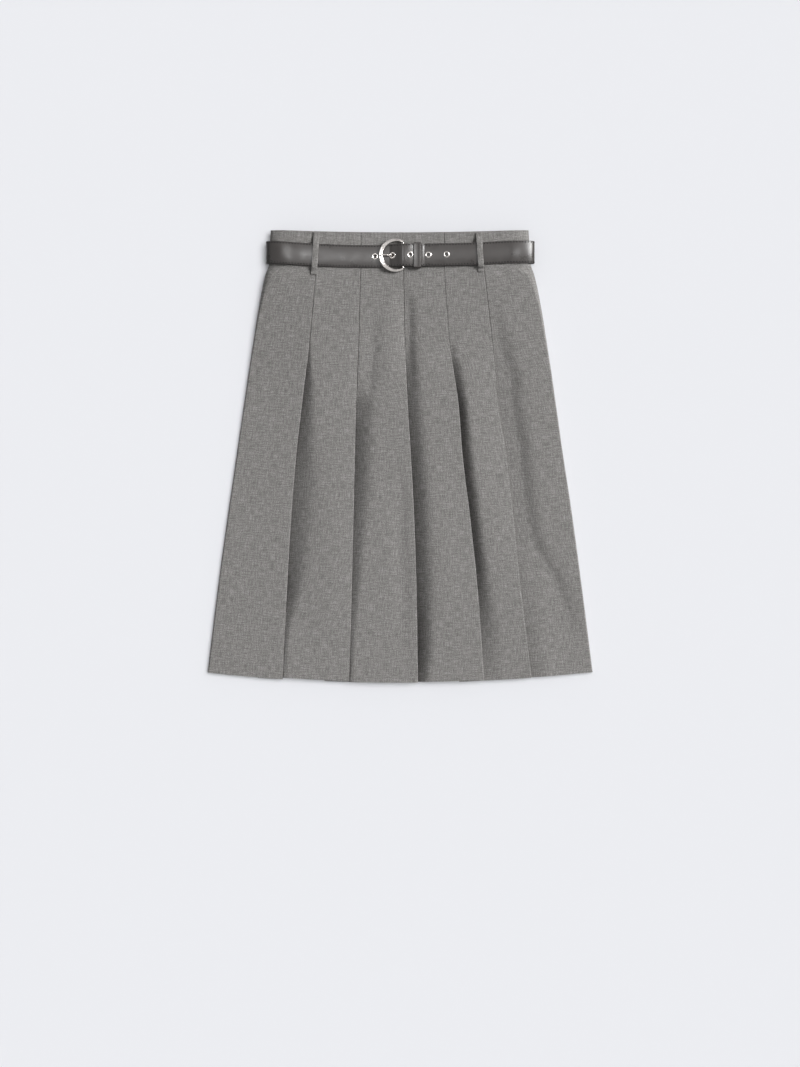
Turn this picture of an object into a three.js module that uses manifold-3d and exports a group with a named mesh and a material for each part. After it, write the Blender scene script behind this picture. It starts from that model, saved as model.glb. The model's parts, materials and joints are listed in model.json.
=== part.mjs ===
// A knee-length pleated skirt in wool cloth with its own leather belt, laid flat on its back, in millimetres.
// +X is to the viewer's right, +Y runs from the hem to the waist and +Z is up.
// Six panels make the front and six the back. Between two panels lies a knife pleat: the left panel's fold edge
// lies over the next panel, its return runs back underneath, and the next panel's underlay starts below that.
// The pleats are stitched down from the waist edge to the hip and hang open below it.

import * as THREE from 'three';
import Module from 'manifold-3d';

const wasm = await Module();
wasm.setup();

// Cloth
const clothThickness = 1.2;
const gap = 0.3;
const layerStep = clothThickness + gap;
const foldRadius = layerStep / 2;
const foldReach = foldRadius + clothThickness / 2;
const length = 632;
const waistSag = 3.9;
const hemSag = 13.6;
const seamRise = 3.2;
const hold = 0.25;
const lowestUnderlay = 5.8;
const rightRamp = 1.8;
const underlaySag = 0.5;
const seamTuck = 0.1;
const comingShares = [0.25, 0.5, 0.75];
const turnShares = [0, 0.13, 0.45, 1];

// One row for each level from the waist edge to the hem.
// down: distance below the waist corners.  left, right: the side seams.  folds: the five pleats' fold edges.
// depth: how far each pleat runs back under its panel.  back: height of the back's outer face.
// side: height of the front's outer face beside the side seams.  curl: width of the round turn there.
// faces: height of each front panel's outer face.
const levels = [
  { down: 0, left: -185, right: 184, folds: [-115.8, -55.8, 3.4, 62.9, 111.5], depth: 26,
    back: 4, side: 21.4, curl: 34, faces: [22, 22, 22, 22, 22, 22] },
  { down: 16, left: -186, right: 185, folds: [-117, -56, 3.8, 63, 114], depth: 26,
    back: 4, side: 21.4, curl: 34, faces: [22, 22, 22, 22, 22, 22] },
  { down: 48, left: -187.2, right: 187, folds: [-119.6, -56.4, 4.4, 63.2, 118.9], depth: 26,
    back: 4, side: 21, curl: 34, faces: [22, 22, 22, 22, 22, 22] },
  { down: 64, left: -193, right: 192.5, folds: [-120.8, -56.7, 4.8, 63.7, 121], depth: 26,
    back: 3.6, side: 18.5, curl: 31, faces: [21.6, 21.6, 21.6, 21.6, 21.6, 21.6] },
  { down: 110, left: -202.7, right: 201.1, folds: [-125, -58, 5.8, 67, 126.5], depth: 26,
    back: 0, side: 10.5, curl: 18, faces: [19.2, 19.5, 19.5, 19.5, 19.3, 18.8] },
  { down: 162, left: -211, right: 209.3, folds: [-130, -59.5, 7, 71.5, 132.7], depth: 27,
    back: 0, side: 6, curl: 9, faces: [16.7, 17.2, 17.5, 17.5, 16.5, 15.5] },
  { down: 200, left: -216.8, right: 215.3, folds: [-134.8, -61.2, 9, 77.5, 136], depth: 28,
    back: 0, side: 4.8, curl: 6, faces: [14.2, 16.4, 17.2, 17.5, 15, 13.6] },
  { down: 242, left: -223, right: 221.2, folds: [-140, -62.9, 11.2, 83.7, 139.4], depth: 29,
    back: 0, side: 4.2, curl: 5, faces: [12.6, 16, 17, 17.5, 14.5, 12.6] },
  { down: 314, left: -233.4, right: 231.3, folds: [-148.4, -64.6, 15.7, 89.4, 151.6], depth: 30,
    back: 0, side: 4, curl: 5, faces: [11.6, 15.5, 17, 17.5, 14, 11.6] },
  { down: 400, left: -246, right: 244.4, folds: [-155.6, -66.4, 20.2, 100, 161.6], depth: 32,
    back: 0, side: 4, curl: 5, faces: [11, 15.5, 17, 17.5, 14, 10.8] },
  { down: 500, left: -259.9, right: 258, folds: [-161.6, -68.9, 23.7, 110.7, 172], depth: 34,
    back: 0, side: 4, curl: 5, faces: [11, 15, 16.5, 17, 13.5, 10.2] },
  { down: 632, left: -276.2, right: 275, folds: [-167.7, -72.1, 25.7, 120.3, 188.2], depth: 36,
    back: 0, side: 4, curl: 5, faces: [12.3, 13.5, 15.8, 16.5, 13, 9.5] },
];

// How each front pleat opens below its stitching: the slope with which the next panel comes up from under the
// fold edge, and how far from the edge it reaches that panel's face.
const openings = [
  { down: 150, slope: [0, 0, 0.05, 0, 0], reach: [3.2, 3.2, 14, 8, 4] },
  { down: 172, slope: [0.55, 0.1, 0.25, 0.2, 0.05], reach: [6, 4, 26, 14, 10] },
  { down: 200, slope: [0.66, 0.15, 0.38, 0.45, 0.1], reach: [14, 8, 28, 19, 24] },
  { down: 226, slope: [0.62, 0.22, 0.44, 0.68, 0.11], reach: [21, 24, 28, 18, 30] },
  { down: 250, slope: [0.58, 0.38, 0.48, 0.85, 0.11], reach: [25, 36, 29, 18, 30] },
  { down: 300, slope: [0.5, 0.5, 0.53, 0.95, 0.1], reach: [33, 34, 30, 20, 30] },
  { down: 360, slope: [0.4, 0.5, 0.54, 1, 0.09], reach: [44, 31, 30, 21, 30] },
  { down: 430, slope: [0.43, 0.46, 0.54, 0.85, 0.09], reach: [42, 24, 29, 22, 30] },
  { down: 500, slope: [0.5, 0.5, 0.56, 0.55, 0.1], reach: [31, 17, 30, 25, 40] },
  { down: 580, slope: [0.35, 0.38, 0.74, 0.24, 0.14], reach: [9, 9, 29, 36, 30] },
  { down: 632, slope: [0.2, 0.3, 0.6, 0.12, 0.05], reach: [9, 8, 22, 30, 20] },
];

// The larger soft creases in the front: places down and across, height, and the reach to the left and the right.
const creases = [
  { left: 26, right: 9, places: [
    { down: 100, x: -33, height: 0 }, { down: 130, x: -36, height: -1.1 },
    { down: 170, x: -39, height: -2.1 }, { down: 210, x: -43, height: -2.5 },
    { down: 235, x: -48, height: -2 }, { down: 265, x: -56, height: 0 },
  ] },
  { left: 16, right: 8, places: [
    { down: 75, x: 10, height: 0 }, { down: 90, x: 11, height: -1.6 }, { down: 130, x: 12.5, height: -3.4 },
    { down: 155, x: 13, height: -3.8 }, { down: 180, x: 14, height: -2.2 },
    { down: 215, x: 16, height: -1 }, { down: 250, x: 18, height: 0 },
  ] },
  { left: 40, right: 13, places: [
    { down: 95, x: 128, height: 0 }, { down: 130, x: 136, height: -1.7 },
    { down: 170, x: 144, height: -3.2 }, { down: 210, x: 157, height: -4 },
    { down: 250, x: 159, height: -4.4 }, { down: 300, x: 168, height: -4.6 },
    { down: 360, x: 175, height: -4.2 }, { down: 430, x: 185, height: -3.6 },
    { down: 465, x: 202, height: -2.8 }, { down: 500, x: 223, height: -2.8 },
    { down: 540, x: 235, height: -2.2 }, { down: 561, x: 243, height: -1.6 },
    { down: 600, x: 250, height: 0 },
  ] },
];

// How far each front panel's hem edge hangs below the hem's curve, at its left and its right end.
const hemShifts = [[0, 1.7], [-1.6, 0.4], [0.9, 1.1], [0.5, -0.6], [1, 0.2], [0, 0]];

// Belt
const waistHeight = 22;
const strap = { width: 32, thickness: 1.8, leftEnd: -191.5, rightEnd: 192.5, endReach: 38, tip: 116 };
const backLoopHeight = 1.6;
const frontStrap = waistHeight + gap + strap.thickness / 2;
const backStrap = backLoopHeight + gap + strap.thickness / 2;
const strapStep = strap.thickness + gap;
const bar = { x: 4.5, radius: 1.1, length: 36.1 };
const wrapRadius = bar.radius + gap + strap.thickness / 2;
const barHeight = frontStrap + wrapRadius;
const turnBackEnd = 17;
const keeper = { left: 19.3, right: 30, down: 37.2, halfWidth: 18.4, thickness: 1.2, corner: 1.3 };
const beltCentres = [
  { x: -192, down: 31.3 }, { x: -124, down: 35.9 }, { x: -75, down: 38 }, { x: -35, down: 38.4 },
  { x: -10, down: 37.1 }, { x: 41, down: 36.4 }, { x: 99, down: 35 }, { x: 160, down: 31.9 }, { x: 192, down: 31.2 },
];
const backBeltSag = 3;

// Metal
const eyelet = { hole: 2.6, tube: 3.3, flange: 4.6, rim: 0.5, xs: [-35.6, -10.4, 14.3, 40.6, 66.4] };
const bluntness = 0.02;
const ring = { x: -6.7, down: 37, outer: 23.9, leftWidth: 6.3, endWidth: 3.4, leftHeight: 4, endHeight: 2.8 };
const prong = { radius: 0.9, hookStart: -120, tip: -28.6 };
const prongSlot = { left: -1, right: 9.5, halfWidth: 1.7 };

// Belt loops: the top and bottom places of each one's centre line on the cloth
const loop = { width: 8.6, thickness: 1.4, slope: 4, seat: 0.45, arch: 2, droop: 0.2 };
const frontLoops = [
  { name: 'front_loop_left', topX: -118.7, topDown: 3.5, bottomX: -122.6, bottomDown: 64 },
  { name: 'front_loop_right', topX: 112.2, topDown: 4.5, bottomX: 115.8, bottomDown: 60 },
];
const backLoops = [
  { name: 'back_loop_left', topX: -114, topDown: 4, bottomX: -117, bottomDown: 60 },
  { name: 'back_loop_right', topX: 114, topDown: 4, bottomX: 117, bottomDown: 60 },
];

const wool = { color: 0x82807e, roughness: 0.95, metalness: 0 };
const leather = { color: 0x454241, roughness: 0.42, metalness: 0 };
const steel = { color: 0xcfcdcb, roughness: 0.2, metalness: 1 };

const skirt = new THREE.Group();

function addPiece(name, geometry, finish) {
  const piece = new THREE.Mesh(geometry, new THREE.MeshStandardMaterial(finish));
  piece.name = name;
  skirt.add(piece);
  return piece;
}

function mix(a, b, share) {
  return a + (b - a) * share;
}

function smooth(share) {
  const held = THREE.MathUtils.clamp(share, 0, 1);
  return held * held * (3 - 2 * held);
}

// The value of a table's column at a place between its rows, held at both ends.
function lookUp(table, key, place, column) {
  const next = table.findIndex((row) => row[key] >= place);
  if (next === 0) return column(table[0]);
  if (next < 0) return column(table[table.length - 1]);
  const share = (place - table[next - 1][key]) / (table[next][key] - table[next - 1][key]);
  return mix(column(table[next - 1]), column(table[next]), share);
}

function levelAt(down, name) {
  return lookUp(levels, 'down', down, (row) => row[name]);
}

// Straight or curved line of points in a plane, moved sideways by a distance.
function offsetLine(line, distance) {
  const widest = 1.15;
  return line.map((point, index) => {
    const before = line[Math.max(index - 1, 0)];
    const after = line[Math.min(index + 1, line.length - 1)];
    const arriving = point.clone().sub(before).normalize();
    const leaving = after.clone().sub(point).normalize();
    const along = arriving.clone().add(leaving).normalize();
    const stretch = Math.min(1 / Math.max(along.dot(index ? arriving : leaving), 0.5), widest);
    return new THREE.Vector2(point.x - along.y * distance * stretch, point.y + along.x * distance * stretch);
  });
}

function arc(centreX, centreY, radiusX, radiusY, fromDegrees, toDegrees, steps) {
  return Array.from({ length: steps + 1 }, (_, step) => {
    const angle = THREE.MathUtils.degToRad(mix(fromDegrees, toDegrees, step / steps));
    return new THREE.Vector2(centreX + radiusX * Math.cos(angle), centreY + radiusY * Math.sin(angle));
  });
}

function closedGeometry(points, triangles) {
  const corner = (index) => points[index];
  let volume = 0;
  for (const [a, b, c] of triangles) {
    volume += corner(a).dot(corner(b).clone().cross(corner(c)));
  }
  const outward = volume > 0 ? triangles : triangles.map(([a, b, c]) => [a, c, b]);
  const geometry = new THREE.BufferGeometry();
  geometry.setAttribute('position', new THREE.Float32BufferAttribute(points.flatMap((p) => p.toArray()), 3));
  geometry.setIndex(outward.flat());
  return geometry;
}

// A wall of one thickness: each line is a row of the wall, seen in the plane of its section,
// and place(point, row, index) puts a point of that plane into space.
function wall(lines, thickness, place) {
  const count = lines[0].length;
  const points = [];
  for (const side of [1, -1]) {
    lines.forEach((line, row) => {
      offsetLine(line, side * thickness / 2).forEach((point, index) => points.push(place(point, row, index)));
    });
  }
  const at = (side, row, index) => (side * lines.length + row) * count + index;
  const triangles = [];
  // Seen from above every quad is cut along the same diagonal, so that stacked layers stay parallel.
  const quad = (a, b, c, d) => {
    const diagonal = points[c].clone().sub(points[a]);
    if (diagonal.x * diagonal.y < 0) triangles.push([a, b, c], [a, c, d]);
    else triangles.push([a, b, d], [b, c, d]);
  };
  for (let row = 1; row < lines.length; row += 1) {
    for (let index = 1; index < count; index += 1) {
      quad(at(0, row - 1, index - 1), at(0, row - 1, index), at(0, row, index), at(0, row, index - 1));
      quad(at(1, row, index - 1), at(1, row, index), at(1, row - 1, index), at(1, row - 1, index - 1));
    }
    quad(at(1, row - 1, 0), at(0, row - 1, 0), at(0, row, 0), at(1, row, 0));
    quad(at(0, row - 1, count - 1), at(1, row - 1, count - 1), at(1, row, count - 1), at(0, row, count - 1));
  }
  const last = lines.length - 1;
  for (let index = 1; index < count; index += 1) {
    quad(at(0, 0, index), at(0, 0, index - 1), at(1, 0, index - 1), at(1, 0, index));
    quad(at(0, last, index - 1), at(0, last, index), at(1, last, index), at(1, last, index - 1));
  }
  return closedGeometry(points, triangles);
}

// A rod: rings of points carried along a route, closed by a fan at both ends.
function rod(rings) {
  const count = rings[0].length;
  const points = rings.flat();
  const triangles = [];
  for (let row = 1; row < rings.length; row += 1) {
    for (let index = 0; index < count; index += 1) {
      const next = (index + 1) % count;
      const low = (row - 1) * count;
      const high = row * count;
      triangles.push([low + index, low + next, high + next], [low + index, high + next, high + index]);
    }
  }
  for (let index = 1; index < count - 1; index += 1) {
    const end = (rings.length - 1) * count;
    triangles.push([0, index + 1, index], [end, end + index, end + index + 1]);
  }
  return closedGeometry(points, triangles);
}

function toSolid(geometry) {
  const vertProperties = new Float32Array(geometry.attributes.position.array);
  const triVerts = new Uint32Array(geometry.index.array);
  return new wasm.Manifold(new wasm.Mesh({ numProp: 3, vertProperties, triVerts }));
}

function toGeometry(solid) {
  const mesh = solid.getMesh();
  const geometry = new THREE.BufferGeometry();
  geometry.setAttribute('position', new THREE.BufferAttribute(mesh.vertProperties, mesh.numProp));
  geometry.setIndex(new THREE.BufferAttribute(mesh.triVerts, 1));
  return geometry;
}

// A three.js shape as a solid: its shared corners are merged by place.
function shapeSolid(geometry) {
  const places = new Map();
  const points = [];
  const merged = [];
  const position = geometry.attributes.position;
  for (let index = 0; index < position.count; index += 1) {
    const point = new THREE.Vector3().fromBufferAttribute(position, index);
    const key = point.toArray().map((value) => value.toFixed(4)).join(' ');
    if (!places.has(key)) {
      places.set(key, points.length);
      points.push(point);
    }
    merged.push(places.get(key));
  }
  const corners = Array.from(geometry.index.array, (index) => merged[index]);
  const triangles = [];
  for (let index = 0; index < corners.length; index += 3) {
    const [a, b, c] = corners.slice(index, index + 3);
    if (a !== b && b !== c && c !== a) triangles.push([a, b, c]);
  }
  return toSolid(closedGeometry(points, triangles));
}

// Height of one panel's outer face between the round turns at the side seams. The back lies flat; the first and
// the last front panel slope down to the height beside their seam.
function outerHeight(panel, isFront, x, level) {
  if (!isFront) return level.back;
  const face = level.faces[panel];
  if (panel === 0) {
    const seam = level.left + level.curl;
    return mix(level.side, face, THREE.MathUtils.clamp((x - seam) / (level.folds[0] - seam), 0, 1));
  }
  if (panel === level.folds.length) {
    const seam = level.right - level.curl;
    const fold = level.folds[panel - 1];
    const share = THREE.MathUtils.clamp((x - fold) / (seam - fold), 0, 1);
    return mix(face, level.side, share ** rightRamp);
  }
  return face;
}

function creaseHeight(x, down) {
  return creases.reduce((sum, crease) => {
    const offset = x - lookUp(crease.places, 'down', down, (row) => row.x);
    const height = lookUp(crease.places, 'down', down, (row) => row.height);
    return sum + height * Math.exp(-((offset / (offset < 0 ? crease.left : crease.right)) ** 2));
  }, 0);
}

// How much of a pleat's climb is left at a share of its reach: the slope holds at first and then fades out.
function climbLeft(share) {
  const fade = Math.max((share - hold) / (1 - hold), 0);
  const fading = (1 - hold) * (0.5 - fade + fade ** 3 - fade ** 4 / 2);
  return (Math.max(hold - share, 0) + fading) / ((1 + hold) / 2);
}

// Distance below the waist corners of a point on a level: the waist edge and the hem sag in the middle.
function sagged(x, level) {
  const share = level.down / length;
  const across = (2 * x - level.left - level.right) / (level.right - level.left);
  return level.down + (1 - across * across) * mix(waistSag, hemSag, share);
}

// One panel's centre line at one level, as seen from its own outside with its left at negative x.
function panelLine(panel, level, isFront) {
  const flip = isFront ? 1 : -1;
  const left = isFront ? level.left : -level.right;
  const right = isFront ? level.right : -level.left;
  const skin = clothThickness / 2;
  const topOf = (owner, x) => {
    const crease = isFront ? creaseHeight(x, level.down) : 0;
    return outerHeight(owner, isFront, flip * x, level) + crease;
  };
  const line = [];
  const addPoint = (x, height) => line.push(new THREE.Vector2(flip * x, height));
  const addAt = (x, below) => addPoint(x, topOf(panel, x) - flip * below);
  const seamHeight = (level.side + level.back) / 2 + flip * gap;
  const turn = (edge, inward) => turnShares.map((share) => {
    const x = edge + inward * mix(skin, level.curl, 1 - Math.sqrt(1 - share * share));
    const top = topOf(panel, edge + inward * level.curl) - flip * skin;
    return new THREE.Vector2(flip * x, mix(seamHeight, top, share));
  });
  let faceStart = left + level.curl;
  if (panel === 0) {
    line.push(...turn(left, 1));
  } else {
    const fold = level.folds[panel - 1];
    const opened = (name) => lookUp(openings, 'down', level.down, (row) => row[name][panel - 1]);
    const reach = isFront ? Math.max(opened('reach'), seamRise) : seamRise;
    const own = topOf(panel, fold);
    const above = topOf(panel - 1, fold);
    const wanted = isFront ? opened('slope') * reach * (1 + hold) / 2 : 0;
    const climb = Math.max(Math.min(wanted, own - lowestUnderlay), 0);
    const rest = Math.max(flip * (own - above) + 2 * layerStep - climb, 0);
    const under = climb + rest;
    const inner = topOf(panel - 1, fold - level.depth) - flip * (skin + 2 * layerStep);
    const middle = topOf(panel - 1, fold - level.depth / 2) - flip * (skin + 2 * layerStep);
    const deeper = flip * (above - own) - 2 * layerStep + under;
    addPoint(fold - level.depth, inner);
    addPoint(fold - level.depth / 2, middle - flip * deeper * underlaySag);
    addPoint(fold - seamTuck, own - flip * (skin + under));
    if (isFront) {
      for (const share of comingShares) {
        const made = smooth(share * reach / seamRise);
        addAt(fold + reach * share, skin + climb * climbLeft(share) + rest * (1 - made));
      }
    }
    addAt(fold + reach, skin);
    faceStart = fold + reach;
  }
  const isLast = panel === level.folds.length;
  const faceEnd = isLast ? right - level.curl : level.folds[panel] - foldReach;
  const layered = isLast ? faceEnd : level.folds[panel] - level.depth;
  for (const share of isFront ? [0.33, 0.67] : [0.5]) {
    addAt(mix(Math.min(faceStart, layered), layered, share), skin);
  }
  if (isLast) {
    line.push(...turn(right, -1).reverse());
  } else {
    addAt(layered, skin);
    addAt(layered + level.depth / 2, skin);
    for (const angle of [90, 30, -30, -90]) {
      const radians = THREE.MathUtils.degToRad(angle);
      const below = foldReach - foldRadius * Math.sin(radians);
      addPoint(faceEnd + foldRadius * Math.cos(radians), topOf(panel, faceEnd) - flip * below);
    }
    addAt(layered + level.depth / 2, skin + layerStep);
    addAt(layered, skin + layerStep);
  }
  return line;
}

function hemShift(panel, isFront, row, share) {
  const atHem = isFront && row === levels.length - 1;
  return atHem ? mix(...hemShifts[panel], share) : 0;
}

function makePanel(panel, isFront) {
  const lines = levels.map((level) => panelLine(panel, level, isFront));
  return wall(lines, clothThickness, (point, row, index) => {
    const share = index / (lines[row].length - 1);
    const centre = lines[row][index].x;
    const down = sagged(centre, levels[row]) + hemShift(panel, isFront, row, share);
    return new THREE.Vector3(point.x, -down, point.y);
  });
}

for (const isFront of [true, false]) {
  for (let panel = 0; panel <= levels[0].folds.length; panel += 1) {
    const name = `${isFront ? 'front' : 'back'}_panel_${panel + 1}`;
    addPiece(name, makePanel(panel, isFront), wool);
  }
}

// The belt's route in its own plane, x and height, from the turned-back end under the bar to the tip.
const overBar = barHeight + wrapRadius;
const inKeeper = waistHeight + 2 * gap + keeper.thickness + strap.thickness / 2;
const endMiddle = (frontStrap + backStrap) / 2;
const endHeight = (frontStrap - backStrap) / 2;
const endWidth = strap.endReach - strap.thickness / 2;
const tipRoute = [
  [-36, frontStrap], [-15.8, frontStrap], [-10.4, frontStrap + 1.85],
  [-4, frontStrap + 4], [0.5, overBar + strapStep - 0.8], [bar.x, overBar + strapStep + 0.15],
  [10, overBar + strapStep - 0.5],
  [turnBackEnd, inKeeper + strapStep + 0.6], [keeper.left - 0.5, inKeeper + strapStep],
  [keeper.right + 0.5, inKeeper + strapStep], [36, frontStrap + strapStep], [strap.tip, frontStrap + strapStep],
].map(([x, height]) => new THREE.Vector2(x, height));
const innerRoute = [
  [10, overBar - 0.6], [turnBackEnd, inKeeper + 0.6], [keeper.left - 0.5, inKeeper],
  [keeper.right + 0.5, inKeeper], [36, frontStrap], [95, frontStrap],
].map(([x, height]) => new THREE.Vector2(x, height));
const beltRoute = [
  new THREE.Vector2(turnBackEnd, frontStrap),
  ...arc(bar.x, barHeight, wrapRadius, wrapRadius, 270, 90, 6),
  ...innerRoute,
  ...arc(strap.rightEnd - strap.endReach, endMiddle, endWidth, endHeight, 90, -90, 12),
  new THREE.Vector2(0, backStrap),
  ...arc(strap.leftEnd + strap.endReach, endMiddle, endWidth, endHeight, 270, 90, 12),
  new THREE.Vector2(-95, frontStrap),
  ...tipRoute,
];

function beltCentre(x, height) {
  const front = lookUp(beltCentres, 'x', x, (row) => row.down);
  const back = beltCentres[0].down + backBeltSag * (1 - (x / strap.rightEnd) ** 2);
  return mix(back, front, smooth((height - backStrap) / (frontStrap - backStrap)));
}

// Height and slope of the tip's stretch at a place along the belt.
function onTip(x) {
  const next = tipRoute.findIndex((point) => point.x >= x);
  const after = tipRoute[next];
  const before = tipRoute[next - 1];
  const height = mix(before.y, after.y, (x - before.x) / (after.x - before.x));
  return { height, slope: Math.atan2(after.y - before.y, after.x - before.x) };
}

function makeStrap() {
  const edges = [-strap.width / 2, strap.width / 2];
  const ribbon = wall([beltRoute, beltRoute], strap.thickness, (point, row, index) => {
    const centre = beltRoute[index];
    return new THREE.Vector3(point.x, edges[row] - beltCentre(centre.x, centre.y), point.y);
  });
  let solid = toSolid(ribbon);
  for (const x of eyelet.xs) {
    const { height, slope } = onTip(x);
    const hole = new THREE.CylinderGeometry(eyelet.tube + gap, eyelet.tube + gap, strap.thickness + gap, 16);
    hole.rotateX(Math.PI / 2);
    hole.rotateY(-slope);
    hole.translate(x, -beltCentre(x, height), height);
    solid = solid.subtract(shapeSolid(hole));
  }
  const slotHeight = overBar + strap.thickness / 2 + gap / 2;
  const slotWidth = prongSlot.right - prongSlot.left;
  const slot = new THREE.BoxGeometry(slotWidth, 2 * prongSlot.halfWidth, slotHeight - waistHeight);
  slot.translate(prongSlot.left + slotWidth / 2, -ring.down, (slotHeight + waistHeight) / 2);
  return toGeometry(solid.subtract(shapeSolid(slot)));
}

addPiece('belt_strap', makeStrap(), leather);

eyelet.xs.forEach((x, index) => {
  const { height, slope } = onTip(x);
  const half = strap.thickness / 2;
  const rimTop = half + gap + eyelet.rim;
  const profile = [
    [eyelet.hole, -half], [eyelet.tube, -half], [eyelet.tube, half + gap], [eyelet.flange, half + gap],
    [eyelet.flange - 0.4, rimTop], [eyelet.hole, rimTop], [eyelet.hole, -half],
  ].map(([radius, level]) => new THREE.Vector2(radius, level));
  const geometry = new THREE.LatheGeometry(profile, 16);
  geometry.rotateX(Math.PI / 2);
  const piece = addPiece(`eyelet_${index + 1}`, geometry, steel);
  piece.rotation.y = -slope;
  piece.position.set(x, -beltCentre(x, height), height);
});

// The keeper: a leather band round the belt's two layers, its ends butted underneath.
function makeKeeper() {
  const low = waistHeight + gap + keeper.thickness / 2;
  const high = inKeeper + strapStep + strap.thickness / 2 + gap + keeper.thickness / 2;
  const corner = keeper.corner;
  const half = keeper.halfWidth - keeper.thickness / 2;
  const section = [
    new THREE.Vector2(-gap / 2, low),
    ...arc(-half + corner, low + corner, corner, corner, 270, 180, 3),
    ...arc(-half + corner, high - corner, corner, corner, 180, 90, 3),
    ...arc(half - corner, high - corner, corner, corner, 90, 0, 3),
    ...arc(half - corner, low + corner, corner, corner, 0, -90, 3),
    new THREE.Vector2(gap / 2, low),
  ];
  const sides = [keeper.left, keeper.right];
  return wall([section, section], keeper.thickness, (point, row) => (
    new THREE.Vector3(sides[row], point.x - keeper.down, point.y)
  ));
}

addPiece('belt_keeper', makeKeeper(), leather);

// The buckle: a horseshoe of half-round metal, widest opposite the straight bar that joins its ends.
function makeBuckle() {
  const steps = 30;
  const sides = 8;
  const endRadius = ring.outer - ring.endWidth / 2;
  const endAngle = Math.acos((bar.x - ring.x) / endRadius);
  const leftHeightMiddle = frontStrap + strap.thickness / 2 + gap + ring.leftHeight / 2;
  const rings = Array.from({ length: steps + 1 }, (_, step) => {
    const angle = mix(endAngle, 2 * Math.PI - endAngle, step / steps);
    const leftness = (1 - Math.cos(angle - Math.PI) * -1) / 2;
    const share = smooth((leftness - 0.2) / 0.8);
    const width = mix(ring.endWidth, ring.leftWidth, share);
    const tall = mix(ring.endHeight, ring.leftHeight, share);
    const middle = mix(barHeight, leftHeightMiddle, share);
    return Array.from({ length: sides }, (_unused, side) => {
      const turn = 2 * Math.PI * side / sides + Math.PI / sides;
      const radius = ring.outer - width / 2 + width / 2 * Math.cos(turn);
      return new THREE.Vector3(
        ring.x + radius * Math.cos(angle),
        -ring.down + radius * Math.sin(angle),
        middle + tall / 2 * Math.sin(turn),
      );
    });
  });
  const barShape = new THREE.CylinderGeometry(bar.radius, bar.radius, bar.length, 10);
  barShape.translate(bar.x, -ring.down, barHeight);
  return toGeometry(toSolid(rod(rings)).add(shapeSolid(barShape)).simplify(bluntness));
}

addPiece('buckle_frame', makeBuckle(), steel);

// The prong: a wire hooked round the bar, which comes up through the second eyelet and rests on the ring.
function makeProng() {
  const wrap = bar.radius + gap + prong.radius;
  const ringTop = frontStrap + strap.thickness / 2 + gap + ring.leftHeight;
  const resting = ringTop + gap + prong.radius;
  const hole = eyelet.xs[1];
  const upThroughHole = [
    [1.5, overBar - 1.3], [-2, overBar - 2.7], [-5.5, overBar - 3.9], [hole + 2.3, frontStrap + 0.1],
    [hole, frontStrap + 1.6], [hole - 1.9, frontStrap + 3.6], [hole - 4.6, resting - 0.8],
    [-20, resting + 0.1], [-26, resting], [prong.tip, resting - 0.1],
  ].map(([x, height]) => new THREE.Vector2(x, height));
  const route = [...arc(bar.x, barHeight, wrap, wrap, prong.hookStart, 90, 10), ...upThroughHole];
  const left = offsetLine(route, prong.radius);
  const sides = 8;
  const rings = route.map((point, index) => {
    const across = left[index].clone().sub(point).normalize().multiplyScalar(prong.radius);
    return Array.from({ length: sides }, (_, side) => {
      const turn = 2 * Math.PI * side / sides;
      return new THREE.Vector3(
        point.x + across.x * Math.cos(turn),
        -ring.down + prong.radius * Math.sin(turn),
        point.y + across.y * Math.cos(turn),
      );
    });
  });
  return rod(rings);
}

addPiece('buckle_prong', makeProng(), steel);

// A belt loop: a strip of cloth sewn down above and below the belt, which arches over it.
function makeLoop(place, isFront) {
  const flip = isFront ? 1 : -1;
  const half = loop.thickness / 2;
  const topOfBelt = place.topX > bar.x ? strapStep : 0;
  const beltFace = isFront ? frontStrap + topOfBelt : backStrap;
  const over = beltFace + flip * (strap.thickness / 2 + loop.seat + half);
  const shoulder = over - flip * loop.droop;
  const centre = beltCentre(place.topX, isFront ? frontStrap : backStrap);
  const first = centre - strap.width / 2;
  const last = centre + strap.width / 2;
  const onCloth = (down) => {
    const face = lookUp(levels, 'down', down, (row) => (isFront ? row.faces[0] : row.back));
    return face + flip * (loop.seat + half);
  };
  const sewnBelow = place.topDown + loop.slope;
  const sewnAbove = place.bottomDown - loop.slope;
  const line = [
    [place.topDown, onCloth(place.topDown)], [sewnBelow, onCloth(sewnBelow)],
    [first - loop.arch / 2, shoulder], [first + loop.arch, over],
    [last - loop.arch, over], [last + loop.arch / 2, shoulder],
    [sewnAbove, onCloth(sewnAbove)], [place.bottomDown, onCloth(place.bottomDown)],
  ].map(([down, height]) => new THREE.Vector2(-down, height));
  const edges = [-loop.width / 2, loop.width / 2];
  return wall([line, line], loop.thickness, (point, row) => {
    const share = (-point.x - place.topDown) / (place.bottomDown - place.topDown);
    return new THREE.Vector3(mix(place.topX, place.bottomX, share) + edges[row], point.x, point.y);
  });
}

for (const place of frontLoops) {
  addPiece(place.name, makeLoop(place, true), wool);
}
for (const place of backLoops) {
  addPiece(place.name, makeLoop(place, false), wool);
}

// The origin is the middle of the underside.
skirt.updateMatrixWorld(true);
const box = new THREE.Box3().setFromObject(skirt);
const middle = box.getCenter(new THREE.Vector3());
skirt.position.set(-middle.x, -middle.y, -box.min.z);

export default skirt;
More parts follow.
